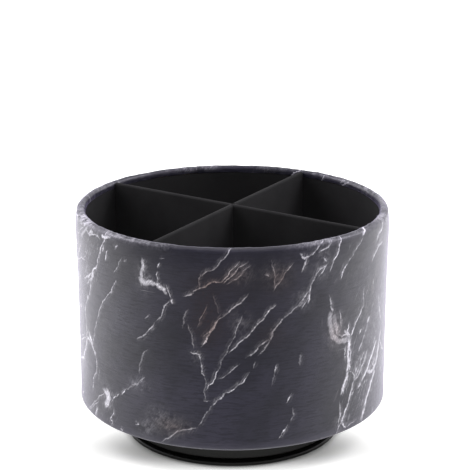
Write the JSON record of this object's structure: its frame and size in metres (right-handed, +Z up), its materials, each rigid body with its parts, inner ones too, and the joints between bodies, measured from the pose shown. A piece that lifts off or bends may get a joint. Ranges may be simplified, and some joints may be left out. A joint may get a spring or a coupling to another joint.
{
  "type": "rotating desk organizer",
  "caption": "Round leather-covered desk organizer with crossed dividers, turning on a low ball-bearing base.",
  "frame": {"origin": "on the surface it stands on, under the turntable's axis", "axes": "+Z up along the turntable's axis, +X along the long divider, +Y across it (the cross divider stands 4 degrees anticlockwise of +Y)"},
  "size_m": [0.17, 0.17, 0.13],
  "materials": {
    "marble_leather": "charcoal marble-pattern faux leather with pale veins, satin, fine grain",
    "black_lining": "black matte lining",
    "fibreboard": "raw fibreboard, hidden",
    "black_plastic": "moulded black plastic, satin",
    "zinc_steel": "zinc-plated steel",
    "ball_steel": "polished bearing steel",
    "nylon": "natural nylon",
    "rubber": "black rubber"
  },
  "bodies": {
    "base": {"base_plate": "black_plastic", "thrust_washer": "nylon", "bolt_washer": "zinc_steel", "foot_1": "rubber", "foot_2": "rubber", "foot_3": "rubber", "foot_4": "rubber"},
    "drum": {"outer_cover": "marble_leather", "wall_core": "fibreboard", "bottom_board": "fibreboard", "underside_cover": "black_lining", "wall_lining": "black_lining", "floor_lining": "black_lining", "long_divider_board": "fibreboard", "long_divider_cover": "black_lining", "cross_divider_board": "fibreboard", "cross_divider_cover": "black_lining", "turntable_top": "black_plastic", "mounting_screws": "zinc_steel", "pivot_bolt": "zinc_steel", "pivot_nut": "zinc_steel"},
    "cage": {"ball_cage": "nylon"},
    "ball_01": {"ball_01": "ball_steel"},
    "ball_02": {"ball_02": "ball_steel"},
    "ball_03": {"ball_03": "ball_steel"},
    "ball_04": {"ball_04": "ball_steel"},
    "ball_05": {"ball_05": "ball_steel"},
    "ball_06": {"ball_06": "ball_steel"},
    "ball_07": {"ball_07": "ball_steel"},
    "ball_08": {"ball_08": "ball_steel"},
    "ball_09": {"ball_09": "ball_steel"},
    "ball_10": {"ball_10": "ball_steel"},
    "ball_11": {"ball_11": "ball_steel"},
    "ball_12": {"ball_12": "ball_steel"}
  },
  "joints": [
    {"name": "turntable_spin", "type": "hinge", "parent": "base", "child": "drum", "pos_m": [0, 0, 0], "axis": [0, 0, 1], "continuous": true},
    {"name": "cage_spin", "type": "hinge", "parent": "base", "child": "cage", "pos_m": [0, 0, 0], "axis": [0, 0, 1], "continuous": true},
    {"name": "ball_01_roll", "type": "hinge", "parent": "cage", "child": "ball_01", "pos_m": [0.042, 0, 0.0092], "axis": [1, 0, 0], "continuous": true},
    {"name": "ball_02_roll", "type": "hinge", "parent": "cage", "child": "ball_02", "pos_m": [0.03637, 0.021, 0.0092], "axis": [0.866, 0.5, 0], "continuous": true},
    {"name": "ball_03_roll", "type": "hinge", "parent": "cage", "child": "ball_03", "pos_m": [0.021, 0.03637, 0.0092], "axis": [0.5, 0.866, 0], "continuous": true},
    {"name": "ball_04_roll", "type": "hinge", "parent": "cage", "child": "ball_04", "pos_m": [0, 0.042, 0.0092], "axis": [0, 1, 0], "continuous": true},
    {"name": "ball_05_roll", "type": "hinge", "parent": "cage", "child": "ball_05", "pos_m": [-0.021, 0.03637, 0.0092], "axis": [-0.5, 0.866, 0], "continuous": true},
    {"name": "ball_06_roll", "type": "hinge", "parent": "cage", "child": "ball_06", "pos_m": [-0.03637, 0.021, 0.0092], "axis": [-0.866, 0.5, 0], "continuous": true},
    {"name": "ball_07_roll", "type": "hinge", "parent": "cage", "child": "ball_07", "pos_m": [-0.042, 0, 0.0092], "axis": [-1, 0, 0], "continuous": true},
    {"name": "ball_08_roll", "type": "hinge", "parent": "cage", "child": "ball_08", "pos_m": [-0.03637, -0.021, 0.0092], "axis": [-0.866, -0.5, 0], "continuous": true},
    {"name": "ball_09_roll", "type": "hinge", "parent": "cage", "child": "ball_09", "pos_m": [-0.021, -0.03637, 0.0092], "axis": [-0.5, -0.866, 0], "continuous": true},
    {"name": "ball_10_roll", "type": "hinge", "parent": "cage", "child": "ball_10", "pos_m": [0, -0.042, 0.0092], "axis": [0, -1, 0], "continuous": true},
    {"name": "ball_11_roll", "type": "hinge", "parent": "cage", "child": "ball_11", "pos_m": [0.021, -0.03637, 0.0092], "axis": [0.5, -0.866, 0], "continuous": true},
    {"name": "ball_12_roll", "type": "hinge", "parent": "cage", "child": "ball_12", "pos_m": [0.03637, -0.021, 0.0092], "axis": [0.866, -0.5, 0], "continuous": true}
  ],
  "couplings": [
    {"joint": "cage_spin", "follows": "turntable_spin", "ratio": 0.5},
    {"joint": "ball_01_roll", "follows": "turntable_spin", "ratio": -8.4},
    {"joint": "ball_02_roll", "follows": "turntable_spin", "ratio": -8.4},
    {"joint": "ball_03_roll", "follows": "turntable_spin", "ratio": -8.4},
    {"joint": "ball_04_roll", "follows": "turntable_spin", "ratio": -8.4},
    {"joint": "ball_05_roll", "follows": "turntable_spin", "ratio": -8.4},
    {"joint": "ball_06_roll", "follows": "turntable_spin", "ratio": -8.4},
    {"joint": "ball_07_roll", "follows": "turntable_spin", "ratio": -8.4},
    {"joint": "ball_08_roll", "follows": "turntable_spin", "ratio": -8.4},
    {"joint": "ball_09_roll", "follows": "turntable_spin", "ratio": -8.4},
    {"joint": "ball_10_roll", "follows": "turntable_spin", "ratio": -8.4},
    {"joint": "ball_11_roll", "follows": "turntable_spin", "ratio": -8.4},
    {"joint": "ball_12_roll", "follows": "turntable_spin", "ratio": -8.4}
  ]
}
